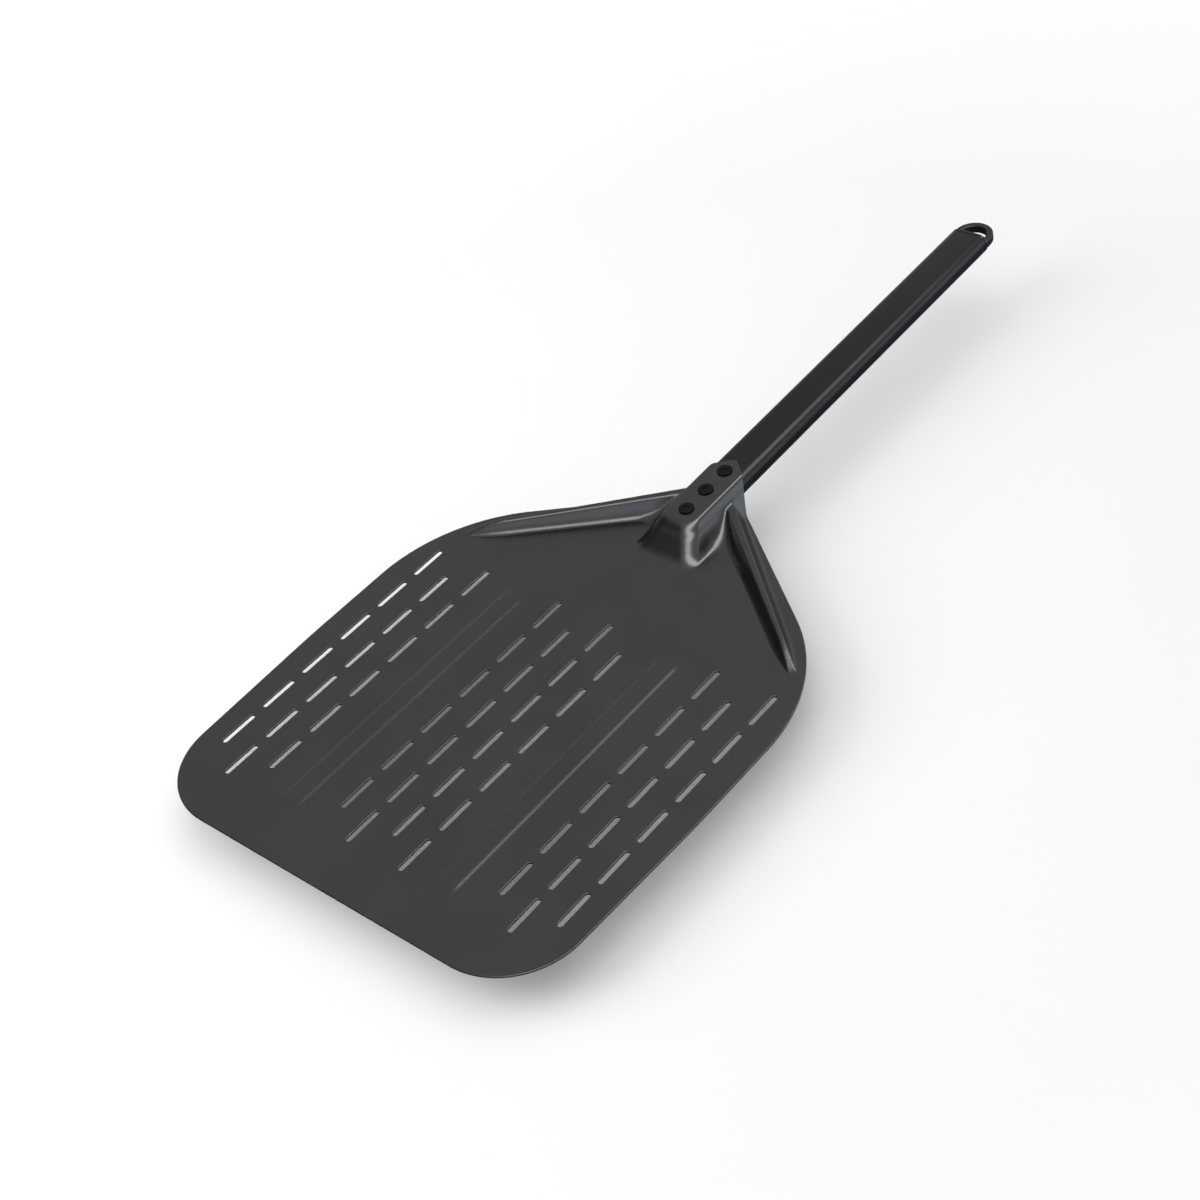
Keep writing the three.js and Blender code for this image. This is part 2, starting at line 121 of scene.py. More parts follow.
# Radii of the bends in the sheet
SOCKET_CORNER_RADIUS = 9  # upright edges between the socket's front and its sides, seen from above
INNER_CORNER_Y = (-8, 12)  # between socket and rib, in front of the rib, seen from above
INNER_CORNER_RADII = (15, 3)  # at those two places, tighter towards the handle
REAR_CORNER_RADIUS = 2.5  # the same behind the rib
SOCKET_FOOT_RADIUS = 6
RIB_CREST_RADIUS = 2.2
RIB_FOOT_RADIUS = 5
FOOT_CHANGE_X = (30, 55)  # from the socket's foot radius to the rib's
NOSE_RADIUS = 4  # between the rib's crest and the socket's wall

# Rivets, with heights above the socket's top
RIVET_NAMES = ("front", "middle", "rear")
RIVET_PITCH = 20
RIVET_TO_POINT = 12.2
RIVET_HEAD_RADIUS = 5
RIVET_HEAD_HEIGHT = 1.6
RIVET_RIM = 0.35
RIVET_RIM_BEVEL = 0.15
RIVET_DOME_POWER = 0.9  # below 1 the dome is fuller than an ellipse
RIVET_BORE = 1.5
RIVET_LIP = 0.35
RIVET_LIP_BEVEL = 0.12
RIVET_SLEEVE = 2.4
RIVET_BULB = 3.6
RIVET_BULB_HEIGHT = 3
RIVET_BULB_BEVEL = (0.8, 0.9)  # inwards and along
MANDREL_RADIUS = 1.2
MANDREL_HEAD = 2.1
MANDREL_HEAD_FOOT = 0.6  # share of the head's radius
MANDREL_HEAD_BEVEL = 0.8
MANDREL_HEAD_HEIGHT = 2
MANDREL_SUNK = 0.5
MANDREL_END_BEVEL = 0.2
MANDREL_END_RADIUS = 0.4
MANDREL_END_DISH = 0.05

# End cap
CAP_FLANGE = 2.4
CAP_PLUG_LENGTH = 24
CAP_PLUG_BEVEL = 1.5
CAP_EDGE = 0.7
CAP_FRONT_EDGE = 0.25
EYE_BAND = 4.7
EYE_THICKNESS = 6.2
EYE_STRAIGHT = 3.6
EYE_ROUND = 1.1
EYE_OFF_FLANGE = 0.01  # keeps the opening's straight side off the plane of the flange

# How fine the meshes are
OUTLINE_STEP = 2.0
LEAST_ARC_STEPS = 6
SLOT_END_STEPS = 8
CUT_EDGE_STEPS = 3
FINEST_STEP = 0.6  # between points where the sheet is bent most
COARSER_LEVELS = 6  # each doubles the step
FLATNESS = 0.012  # that a triangle may be off a bend
CURVATURE_STEP = 0.3
NORMAL_STEP = 0.05
POINT_CLEARANCE = 0.5  # of the sheet's inner points from its cut edges
DOME_STEPS = 8
RIVET_SIDES = 48
MANDREL_SIDES = 32

# ---------------------------------------------------------------- camera, light and floor

# Camera: sensor and lens in millimetres, the rest in metres
SENSOR_WIDTH = 36
LENS = 63.1
CAMERA_PLACE = (0.7073, -0.7279, 0.8417)
CAMERA_RIGHT = (0.76108, 0.62634, -0.16867)
CAMERA_UP = (-0.32604, 0.59418, 0.73529)
CAMERA_BACK = (0.56076, -0.50462, 0.65644)
CLIP_END = 50

# Light from all round, by direction
STUDIO_STRENGTH = 0.53
DARK_STRENGTH = 0.13
DARK_SIDE = (-0.84, -0.53, 0.1)
DARK_COSINES = (0.6, 0.9)  # from the edge of the dark side to its full darkness
BELOW_SHARE = 0.12
BELOW_Z = (-0.4, -0.15)  # from the light below to the full light
HORIZON_COLOUR = (2.3, 2.5, 2.8)
HORIZON_Z = (0.1, 0.45)  # from the full colour to none
HORIZON_X = (-0.2, 0.4)  # from none to the full colour

# Floor, millimetres
FLOOR_DROP = 26  # below the part
FLOOR_RADIUS = 7000
FLOOR_CLEAR = 450  # radius round the object where the floor doesn't glow more than FLOOR_GLOW
FLOOR_GLOW = 0.13
BACKDROP_GLOW = 2.2
FLOOR_STEPS = 24
FLOOR_SIDES = 96

# ---------------------------------------------------------------- places that follow from the frame


def corners_of(node):
    """Lowest and highest corner of a CAD node, in millimetres."""
    return [np.array(corner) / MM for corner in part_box(node)]


blade_low, blade_high = corners_of("blade_head")
tube_low, tube_high = corners_of("handle_tube")
cap_end_y = corners_of("end_cap")[1][1]

half_blade = blade_high[0]
front_y = blade_low[1]
point_y = blade_high[1]
half_tube = tube_high[0]
tube_front = tube_low[1] + TUBE_HEIGHT / 2 * math.sin(TUBE_RISE)
axis_start = tube_low[2] + TUBE_HEIGHT / 2 * math.cos(TUBE_RISE)
tube_length = (cap_end_y - tube_front) / math.cos(TUBE_RISE) - GAP - CAP_FLANGE - EYE_STRAIGHT - half_tube

wrap = GAP + SHEET
socket_top = TUBE_HEIGHT / 2 + wrap
round_x = half_tube - TUBE_CORNER_RADIUS
round_z = TUBE_HEIGHT / 2 - TUBE_CORNER_RADIUS
round_reach = TUBE_CORNER_RADIUS + wrap
wall_slope = math.tan(SOCKET_WALL_SLOPE)
front_slope = math.tan(SOCKET_FRONT_SLOPE)


def axis_height(y):
    """Height of the tube's axis at a y."""
    return axis_start + (y - tube_front) * math.tan(TUBE_RISE)


def socket_half_width(z):
    """Half width of the socket at a height above the tube's axis."""
    out = round_reach - math.cos(SOCKET_WALL_SLOPE) * (z - round_z)
    return round_x + out / math.sin(SOCKET_WALL_SLOPE)


neck_y = point_y - NECK_SETBACK
neck_x = socket_half_width(SHEET - axis_height(neck_y))
shoulder_y = neck_y - (half_blade - neck_x) * math.tan(SHOULDER_ANGLE)
shoulder_reach = SHOULDER_RADIUS * math.tan((math.pi / 2 - SHOULDER_ANGLE) / 2)
widest_y = shoulder_y - shoulder_reach - FULL_WIDTH_STRETCH
tongue_x = socket_half_width(socket_top)

grip_end = -(SHEET + GAP + TUBE_WALL + GAP)  # underside of the tube's upper wall, where a bulb starts
bulb_end = grip_end - RIVET_BULB_HEIGHT

# ---------------------------------------------------------------- plane curves


def rounded_path(corners, step):
    """Closed counter-clockwise path through corners (x, y, radius), as points at most a step apart."""
    count = len(corners)
    points = []
    for i, (x, y, radius) in enumerate(corners):
        corner = np.array([x, y])
        back = np.array(corners[i - 1][:2]) - corner
        onward = np.array(corners[(i + 1) % count][:2]) - corner
        back = back / np.linalg.norm(back)
        onward = onward / np.linalg.norm(onward)
        half = math.acos(np.clip(back @ onward, -1, 1)) / 2
        middle = (back + onward) / np.linalg.norm(back + onward)
        centre = corner + middle * radius / math.sin(half)
        start = corner + back * radius / math.tan(half) - centre
        end = corner + onward * radius / math.tan(half) - centre
        turn = math.atan2(start[0] * end[1] - start[1] * end[0], start @ end)
        steps = max(LEAST_ARC_STEPS, math.ceil(abs(turn) * radius / step))
        for k in range(steps + 1):
            angle = turn * k / steps
            spun = [
                start[0] * math.cos(angle) - start[1] * math.sin(angle),
                start[0] * math.sin(angle) + start[1] * math.cos(angle),
            ]
            points.append(centre + spun)
    return divided(points, step)


def divided(points, step):
    """The same closed path with its long straight stretches divided."""
    result = []
    for start, end in zip(points, points[1:] + points[:1]):
        pieces = max(1, math.ceil(np.linalg.norm(end - start) / step))
        result += [start + (end - start) * k / pieces for k in range(pieces)]
    return np.array(result)


def outward(loop):
    """Mitred outward direction at each point of a counter-clockwise loop."""
    edge = np.roll(loop, -1, 0) - loop
    edge = edge / np.linalg.norm(edge, axis=1)[:, None]
    normal = np.stack([edge[:, 1], -edge[:, 0]], 1)
    both = normal + np.roll(normal, 1, 0)
    both = both / np.linalg.norm(both, axis=1)[:, None]
    return both / np.sum(both * normal, 1)[:, None]


def inside(x, y, loop):
    """Whether each point lies inside a closed loop."""
    odd = np.zeros(x.shape, bool)
    for (ax, ay), (bx, by) in zip(loop, np.roll(loop, -1, 0)):
        if ay == by:
            continue
        crosses = (ay > y) != (by > y)
        odd ^= crosses & (x < ax + (y - ay) * (bx - ax) / (by - ay))
    return odd


def loop_distance(x, y, loop):
    """Distance from each point to a closed loop."""
    nearest = np.full(x.shape, np.inf)
    for (ax, ay), (bx, by) in zip(loop, np.roll(loop, -1, 0)):
        dx, dy = bx - ax, by - ay
        along = np.clip(((x - ax) * dx + (y - ay) * dy) / (dx * dx + dy * dy), 0, 1)
        nearest = np.minimum(nearest, np.hypot(x - ax - along * dx, y - ay - along * dy))
    return nearest


def blade_outline():
    """Outline of the flat sheet, counter-clockwise from its front corner on the right."""
    right = [
        (half_blade - SIDE_TAPER, front_y, FRONT_CORNER_RADIUS),
        (half_blade, widest_y, WIDEST_RADIUS),
        (half_blade, shoulder_y, SHOULDER_RADIUS),
        (neck_x, neck_y, NECK_RADIUS),
        (tongue_x, point_y - TONGUE_SETBACK, TONGUE_CORNER_RADIUS),
    ]
    left = [(-x, y, radius) for x, y, radius in reversed(right)]
    return rounded_path([*right, (0, point_y, TONGUE_POINT_RADIUS), *left], OUTLINE_STEP)


# ---------------------------------------------------------------- slots


def slot_columns():
    """x of each column, and whether its slots lie half a pitch forward."""
    outermost = half_blade - COLUMN_TO_SIDE
    middle = [(i - (MIDDLE_COLUMNS - 1) / 2) * COLUMN_PITCH for i in range(MIDDLE_COLUMNS)]
    right = [outermost - i * COLUMN_PITCH for i in reversed(range(SIDE_COLUMNS))]
    left = [-x for x in reversed(right)]
    return [(x, i % 2 == 1) for group in (left, middle, right) for i, x in enumerate(group)]


def slot_centres():
    """Middle of each slot, column by column."""
    first = front_y + FIRST_SLOT_BACK
    places = []
    for x, forward in slot_columns():
        shift = SLOT_PITCH / 2 if forward else 0
        places += [(x, first + row * SLOT_PITCH - shift) for row in range(SLOT_ROWS)]
    return np.array(places)


def slot_loop(centre):
    """Clockwise loop, so that its outward side is the opening."""
    radius = SLOT_WIDTH / 2
    straight = SLOT_LENGTH / 2 - radius
    points = []
    for end in (1, -1):
        for k in range(SLOT_END_STEPS + 1):
            angle = math.pi * k / SLOT_END_STEPS
            points.append([end * radius * math.cos(angle), end * (straight + radius * math.sin(angle))])
    return np.array(points)[::-1] + centre


def slot_distance(x, y, centres):
    """Distance to the nearest slot's edge, negative inside a slot."""
    straight = SLOT_LENGTH / 2 - SLOT_WIDTH / 2
    nearest = np.full(x.shape, np.inf)
    for cx, cy in centres:
        along = np.maximum(np.abs(y - cy) - straight, 0)
        nearest = np.minimum(nearest, np.hypot(x - cx, along) - SLOT_WIDTH / 2)
    return nearest


# ---------------------------------------------------------------- shape of the pressed sheet


def soft_max(a, b, reach):
    """The higher of two heights, blended where they differ by less than the reach."""
    overlap = np.maximum(reach - np.abs(a - b), 0)
    return np.maximum(a, b) + overlap * overlap / (4 * reach)


def soft_min(a, b, reach):
    """The lower of two heights, blended in the same way."""
    return -soft_max(-a, -b, reach)


def bend(slope, radius):
    """Reach of the blend that rounds the bend between a level face and one of a slope."""
    return radius * slope * slope / (2 * np.sqrt(1 + slope * slope)) + 1e-6


def corner_min(a, b, slope_a, slope_b, radius):
    """The lower of two sloping walls, with the upright edge between them rounded, seen from above.

    The walls are taken to meet square. At a height z, a point is u + p z and v + q z away from the
    centre of the round, measured square to each wall.
    """
    p, q = 1 / slope_a, 1 / slope_b
    u, v = radius - p * a, radius - q * b
    half = p * u + q * v
    rest = u * u + v * v - radius * radius
    root = half * half - (p * p + q * q) * rest
    rounded = (-half + np.sqrt(np.maximum(root, 0))) / (p * p + q * q)
    on_round = (root > 0) & (u + p * rounded > 0) & (v + q * rounded > 0)
    lower = np.minimum(a, b)
    return np.where(on_round, np.minimum(rounded, lower), lower)


def corner_max(a, b, slope_a, slope_b, radius):
    """The higher of two sloping walls, with the inner corner between them rounded, seen from above."""
    return -corner_min(-a, -b, slope_a, slope_b, radius)


def eased(share):
    """A share from 0 to 1 with a soft start and a soft end."""
    return share * share * (3 - 2 * share)


def bead_height(x, y):
    """Height of the two shallow beads above the sheet, each midway between two groups of slots."""
    columns = sorted(abs(cx) for cx, _ in slot_columns())
    centre = (columns[MIDDLE_COLUMNS - 1] + columns[MIDDLE_COLUMNS]) / 2
    front = front_y + BEAD_FRONT_BACK
    rear = front_y + FIRST_SLOT_BACK + (SLOT_ROWS - 1) * SLOT_PITCH + SLOT_LENGTH / 2 - BEAD_SHORTER
    across = np.clip((BEAD_WIDTH / 2 - np.abs(np.abs(x) - centre)) / BEAD_SIDE, 0, 1)
    along = np.clip(((rear - front) / 2 - np.abs(y - (front + rear) / 2)) / BEAD_END, 0, 1)
    return BEAD_HEIGHT * eased(across) * eased(along)


def socket_wall(x, y):
    """Height of the plane of the socket's side wall."""
    out = round_reach - (np.abs(x) - round_x) * math.sin(SOCKET_WALL_SLOPE)
    return axis_height(y) + round_z + out / math.cos(SOCKET_WALL_SLOPE)


def socket_front(y):
    """Height of the plane of the socket's sloping front."""
    centre_y = tube_front - SOCKET_FRONT_ROOM - wrap + SOCKET_EDGE_RADIUS
    start_y = centre_y - SOCKET_EDGE_RADIUS * math.sin(SOCKET_FRONT_SLOPE)
    start_z = socket_top - SOCKET_EDGE_RADIUS * (1 - math.cos(SOCKET_FRONT_SLOPE))
    return axis_height(y) + start_z + (y - start_y) * front_slope


def rib_faces(x, y):
    """Heights of the rib's walls and of its crest, and what their bends depend on.

    Returns wall height, crest height, the walls' slope, the radius of the inner corner to the socket,
    and the share of the run-out that is passed.
    """
    side = np.abs(x)
    ahead = (neck_x - side) * math.sin(RIB_ANGLE) + (neck_y - y) * math.cos(RIB_ANGLE) - RIB_INSET
    along = side + ahead * math.sin(RIB_ANGLE)
    share = np.clip((along - RIB_HIGH_X) / (RIB_LOW_X - RIB_HIGH_X), -RIB_GROWS_ON, 1)
    end_share = soft_max(along - RIB_LOW_X, 0, RIB_END_ROUND) / (RIB_END_X - RIB_LOW_X)
    high = RIB_HIGH + (RIB_LOW - RIB_HIGH) * share
    foot = RIB_HIGH_FOOT + (RIB_LOW_FOOT - RIB_HIGH_FOOT) * share
    slope = high / (foot - RIB_HIGH_CREST - (RIB_LOW_CREST - RIB_HIGH_CREST) * share)
    foot = foot + (RIB_END_FOOT - RIB_LOW_FOOT) * np.minimum(end_share, RIB_END_NARROWS)
    wall = SHEET + (foot - np.abs(ahead)) * slope
    crest = SHEET + high - RIB_LOW * end_share
    in_front = np.interp(y, INNER_CORNER_Y, INNER_CORNER_RADII)
    corner = np.where(ahead > 0, in_front, REAR_CORNER_RADIUS)
    return wall, crest, slope, corner, np.minimum(end_share, 1)


def sheet_height(x, y):
    """Height of the sheet's upper face."""
    rib_wall, crest, rib_slope, corner, end_share = rib_faces(x, y)
    walls = corner_min(socket_wall(x, y), socket_front(y), wall_slope, front_slope, SOCKET_CORNER_RADIUS)
    joined = corner_max(walls, rib_wall, wall_slope, rib_slope, corner)
    rib = soft_min(joined, crest, bend(rib_slope, RIB_CREST_RADIUS))
    socket = soft_min(walls, axis_height(y) + socket_top, bend(wall_slope, SOCKET_EDGE_RADIUS))
    raised = soft_max(rib, socket, bend(wall_slope, NOSE_RADIUS))
    near_x, far_x = FOOT_CHANGE_X
    by_socket = np.clip((far_x - np.abs(x)) / (far_x - near_x), 0, 1)
    rib_bend = bend(rib_slope, RIB_FOOT_RADIUS) * (1 - RIB_END_SHARPER * end_share)
    foot = rib_bend * (1 - by_socket) + bend(wall_slope, SOCKET_FOOT_RADIUS) * by_socket
    return soft_max(SHEET + bead_height(x, y), raised, foot)


def sheet_normal(x, y):
    """Unit normal of the sheet's upper face."""
    h = NORMAL_STEP
    dx = (sheet_height(x + h, y) - sheet_height(x - h, y)) / (2 * h)
    dy = (sheet_height(x, y + h) - sheet_height(x, y - h)) / (2 * h)
    normal = np.stack([-dx, -dy, np.ones_like(dx)], 1)
    return normal / np.linalg.norm(normal, axis=1)[:, None]


def sheet_curvature(x, y):
    """Largest curvature of the sheet's upper face in four directions."""
    h = CURVATURE_STEP
    middle = sheet_height(x, y)
    largest = np.zeros_like(x)
    for dx, dy in ((h, 0), (0, h), (h, h), (h, -h)):
        change = sheet_height(x + dx, y + dy) + sheet_height(x - dx, y - dy) - 2 * middle
        largest = np.maximum(largest, np.abs(change) / (dx * dx + dy * dy))
    return largest


def sheet_points(outline, centres):
    """Points inside the sheet, close together only where it is bent."""
    row = FINEST_STEP * math.sqrt(3) / 2
    columns = np.arange(math.floor(-half_blade / FINEST_STEP), math.ceil(half_blade / FINEST_STEP) + 1)
    rows = np.arange(0, math.ceil((point_y - front_y) / row) + 1)
    i, j = np.meshgrid(columns, rows)
    x = ((i + 0.5 * (j % 2)) * FINEST_STEP).ravel()
    y = (front_y + j * row).ravel()
    i, j = i.ravel(), j.ravel()
    size = np.sqrt(8 * FLATNESS / np.maximum(sheet_curvature(x, y), 1e-6))
    level = np.floor(np.log2(np.maximum(size / FINEST_STEP, 1)))
    stride = 2 ** np.clip(level, 0, COARSER_LEVELS).astype(int)
    keep = (j % stride == 0) & ((i + (j // stride) % 2 * (stride // 2)) % stride == 0)
    x, y = x[keep], y[keep]
    clearance = POINT_CLEARANCE + SHEET_EDGE
    keep = inside(x, y, outline) & (loop_distance(x, y, outline) > clearance)
    keep &= slot_distance(x, y, centres) > clearance
    return np.stack([x[keep], y[keep]], 1)


def triangulated(loops, points, centres):
    """Triangles of the plane region inside the first loop and outside the slots."""
    vertices = [Vector(p) for p in np.concatenate([*loops, points])]
    edges = []
    start = 0
    for loop in loops:
        count = len(loop)
        edges += [(start + k, start + (k + 1) % count) for k in range(count)]
        start += count
    found, _, faces, origin, _, _ = delaunay_2d_cdt(vertices, edges, [], 0, 1e-7)
    assert len(found) == len(vertices)
    plane = np.array([v[:] for v in found])
    original = np.array([o[0] for o in origin])
    faces = np.array(faces)
    centre = plane[faces].mean(1)
    opening = SHEET_EDGE * 0.98  # a little less, because the ends of the loops are polygons
    keep = inside(centre[:, 0], centre[:, 1], loops[0])
    keep &= slot_distance(centre[:, 0], centre[:, 1], centres) > opening
    return original[faces[keep]]


# ---------------------------------------------------------------- mesh helpers


def smooth_mesh(name, points, faces, normals=None):
    """One mesh object from points in millimetres, with its own normals where they are given."""
    mesh = bpy.data.meshes.new(name)
    mesh.from_pydata((np.asarray(points) * MM).tolist(), [], [list(map(int, face)) for face in faces])
    mesh.validate()
    mesh.shade_smooth()
    if normals is not None:
        mesh.normals_split_custom_set_from_vertices(np.asarray(normals).tolist())
    obj = bpy.data.objects.new(name, mesh)
    bpy.context.scene.collection.objects.link(obj)
    return obj


def stand_in(obj, replaces):
    """Let a piece ride in the place of the CAD nodes that it replaces."""
    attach(obj, "root")
    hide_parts(*replaces)


def sharpen(obj, degrees):
    """Shade edges sharper than an angle as sharp."""
    obj.data.set_sharp_from_angle(angle=math.radians(degrees))


def ring_faces(first, second, count):
    """Quads between two closed rings of points, given by their first indices."""
    steps = [(k, (k + 1) % count) for k in range(count)]
    return [(first + k, first + after, second + after, second + k) for k, after in steps]


def circles(profile, sides):
    """Rings of points about z, one for each (radius, z) of a profile."""
    turns = [2 * math.pi * k / sides for k in range(sides)]
    return [(radius * math.cos(t), radius * math.sin(t), z) for radius, z in profile for t in turns]


# ---------------------------------------------------------------- pressed blade head


def cut_edge(top, bottom, up, out):
    """Points and normals of the rings that round a cut edge, from the upper face to the lower one."""
    sideways = np.column_stack([out, np.zeros(len(out))])
    sideways -= np.sum(sideways * up, 1)[:, None] * up
    sideways /= np.linalg.norm(sideways, axis=1)[:, None]
    steps = [(top, 1, k) for k in range(1, CUT_EDGE_STEPS + 1)]
    steps += [(bottom, -1, k) for k in range(CUT_EDGE_STEPS, 0, -1)]
    rings = []
    for base, face, k in steps:
        angle = math.pi / 2 * k / CUT_EDGE_STEPS
        across = math.sin(angle) * sideways
        ring = base + SHEET_EDGE * (across - face * (1 - math.cos(angle)) * up)
        rings.append((ring, across + face * math.cos(angle) * up))
    return rings


def blade_head():
    """The pressed sheet. The holes for the rivets' sleeves aren't cut: heads and bulbs cover them."""
    outline = blade_outline()
    centres = slot_centres()
    edges = [outline, *[slot_loop(centre) for centre in centres]]
    directions = [outward(loop) for loop in edges]
    loops = [loop - SHEET_EDGE * out for loop, out in zip(edges, directions)]
    plan = sheet_points(outline, centres)
    triangles = triangulated(loops, plan, centres)

    flat = np.concatenate([*loops, plan])
    normal = sheet_normal(flat[:, 0], flat[:, 1])
    top = np.column_stack([flat, sheet_height(flat[:, 0], flat[:, 1])])
    bottom = top - SHEET * normal
    points = [top, bottom]
    normals = [normal, -normal]
    faces = [tuple(t) for t in triangles] + [tuple(t[::-1] + len(top)) for t in triangles]

    start = 0
    total = 2 * len(top)
    for out in directions:
        count = len(out)
        here = slice(start, start + count)
        previous = start
        for ring, ring_normals in cut_edge(top[here], bottom[here], normal[here], out):
            points.append(ring)
            normals.append(ring_normals)
            faces += ring_faces(total, previous, count)
            previous = total
            total += count
        faces += ring_faces(start + len(top), previous, count)
        start += count

    head = smooth_mesh("pressed_blade", np.concatenate(points), faces, np.concatenate(normals))
    stand_in(head, ["blade_head"])
    wear = np.ones(total, np.float32)
    wear[:2 * len(top)] = 0
    head.data.attributes.new("wear", "FLOAT", "POINT").data.foreach_set("value", wear)
    return head


# ---------------------------------------------------------------- pieces in the tube's own frame

tube_place = Matrix.Translation((0, tube_front * MM, axis_start * MM)) @ Matrix.Rotation(TUBE_RISE, 4, "X")


def in_tube_frame(points):
    """Points of the tube's frame, in millimetres, placed in the part's frame."""
    turn = np.array(tube_place.to_3x3())
    shift = np.array(tube_place.translation) / MM
    return np.asarray(points) @ turn.T + shift


def rounded_rectangle(half_width, half_height, radius, arc=12):
    """Counter-clockwise section seen from the handle's end, always with the same number of points."""
    points = []
    for sx, sz, start in ((1, 1, 0), (-1, 1, 1), (-1, -1, 2), (1, -1, 3)):
        for k in range(arc + 1):
            angle = math.pi / 2 * (start + k / arc)
            x = sx * (half_width - radius) + radius * math.cos(angle)
            z = sz * (half_height - radius) + radius * math.sin(angle)
            points.append((x, z))
    return np.array(points)


def tube_sections(stations, closed_ends):
    """Skin through sections (inset, y) of the tube, each smaller than the tube's outside by its inset."""
    points, faces = [], []
    for inset, y in stations:
        radius = TUBE_CORNER_RADIUS - inset
        section = rounded_rectangle(half_tube - inset, TUBE_HEIGHT / 2 - inset, radius)
        points.append(np.column_stack([section[:, 0], np.full(len(section), y), section[:, 1]]))
    count = len(points[0])
    last = (len(points) - 1) * count
    for k in range(len(points) - 1):
        faces += ring_faces(k * count, (k + 1) * count, count)
    if closed_ends:
        faces.append(tuple(range(count))[::-1])
        faces.append(tuple(range(last, last + count)))
    else:
        faces += ring_faces(last, 0, count)
    return np.concatenate(points), faces


def rounded_end(y, outwards, radius, steps=4):
    """Insets and places of the rings that round an edge at the end of a tube, from outside to the end."""
    rings = []
    for k in range(steps + 1):
        angle = math.pi / 2 * k / steps
        rings.append((radius * (1 - math.sin(angle)), y - outwards * radius * (1 - math.cos(angle))))
    return rings


def handle_tube():
    """Tube from its end under the socket to the cap, and back along its bore."""
    stations = rounded_end(0, -1, TUBE_EDGE) + rounded_end(tube_length, 1, TUBE_EDGE)[::-1]
    stations += [(TUBE_WALL, tube_length), (TUBE_WALL, 0)]
    points, faces = tube_sections(stations, closed_ends=False)
    tube = smooth_mesh("handle_tube_fine", in_tube_frame(points), faces)
    stand_in(tube, ["handle_tube"])
    sharpen(tube, 35)
    return tube


def rivet_profile():
    """Half section of a rivet body, counter-clockwise from the inside of its bore."""
    inwards, along = RIVET_BULB_BEVEL
    bulb = [
        (RIVET_BORE, bulb_end),
        (RIVET_BULB - inwards, bulb_end),
        (RIVET_BULB, bulb_end + along),
        (RIVET_BULB, grip_end - along),
        (RIVET_BULB - inwards, grip_end),
        (RIVET_SLEEVE, grip_end),
    ]
    head = [
        (RIVET_SLEEVE, GAP),
        (RIVET_HEAD_RADIUS - RIVET_RIM_BEVEL, GAP),
        (RIVET_HEAD_RADIUS, GAP + RIVET_RIM_BEVEL),
    ]
    dome = []
    for k in range(DOME_STEPS + 1):
        angle = math.pi / 2 * k / DOME_STEPS
        radius = RIVET_BORE + RIVET_LIP + (RIVET_HEAD_RADIUS - RIVET_BORE - RIVET_LIP) * math.cos(angle)
        rise = (RIVET_HEAD_HEIGHT - GAP - RIVET_RIM) * math.sin(angle) ** RIVET_DOME_POWER
        dome.append((radius, GAP + RIVET_RIM + rise))
    lip = [
        (RIVET_BORE + RIVET_LIP_BEVEL, RIVET_HEAD_HEIGHT - RIVET_LIP_BEVEL),
        (RIVET_BORE, RIVET_HEAD_HEIGHT - RIVET_LIP),
    ]
    return bulb + head + dome + lip


def mandrel_profile():
    """Half section of the part of a mandrel that stays in its rivet, from its head up to its broken end."""
    top = RIVET_HEAD_HEIGHT - MANDREL_SUNK
    head_top = bulb_end - GAP
    foot = head_top - MANDREL_HEAD_HEIGHT
    return [
        (0, foot),
        (MANDREL_HEAD * MANDREL_HEAD_FOOT, foot),
        (MANDREL_HEAD, foot + MANDREL_HEAD_BEVEL),
        (MANDREL_HEAD, head_top),
        (MANDREL_RADIUS, head_top),
        (MANDREL_RADIUS, top - (MANDREL_END_BEVEL + MANDREL_END_DISH)),
        (MANDREL_RADIUS - MANDREL_END_BEVEL, top - MANDREL_END_DISH),
        (MANDREL_END_RADIUS, top),
        (0, top - MANDREL_END_DISH),
    ]


def ring_lathe(profile, sides):
    """Skin of revolution about z through (radius, z) points that close on themselves."""
    count = len(profile)
    faces = []
    for ring in range(count):
        faces += ring_faces(ring * sides, (ring + 1) % count * sides, sides)
    return np.array(circles(profile, sides)), faces


def solid_lathe(profile, sides):
    """Closed skin of revolution about z through (radius, z) points that start and end on the axis."""
    points = [(0, 0, profile[0][1]), *circles(profile[1:-1], sides), (0, 0, profile[-1][1])]
    last = len(points) - 1
    faces = [(0, 1 + (k + 1) % sides, 1 + k) for k in range(sides)]
    for first in range(1, last - sides, sides):
        faces += ring_faces(first, first + sides, sides)
    first = last - sides
    faces += [(first + k, first + (k + 1) % sides, last) for k in range(sides)]
    return np.array(points), faces


def rivets():
    """Body and mandrel of each rivet, from the front one to the rear one."""
    point = (point_y - tube_front) / math.cos(TUBE_RISE)
    made = []
    for k, name in enumerate(RIVET_NAMES):
        to_rear_rivet = (len(RIVET_NAMES) - 1 - k) * RIVET_PITCH
        place = np.array([0, point - RIVET_TO_POINT - to_rear_rivet, socket_top])

        points, faces = ring_lathe(rivet_profile(), RIVET_SIDES)
        body = smooth_mesh(f"rivet_{name}_body_fine", in_tube_frame(points + place), faces)
        stand_in(body, [f"rivet_{name}_body"])
        sharpen(body, 50)

        points, faces = solid_lathe(mandrel_profile(), MANDREL_SIDES)
        mandrel = smooth_mesh(f"rivet_{name}_mandrel_fine", in_tube_frame(points + place), faces)
        stand_in(mandrel, [f"rivet_{name}_mandrel"])
        sharpen(mandrel, 40)
        made.append((body, mandrel))
    return made


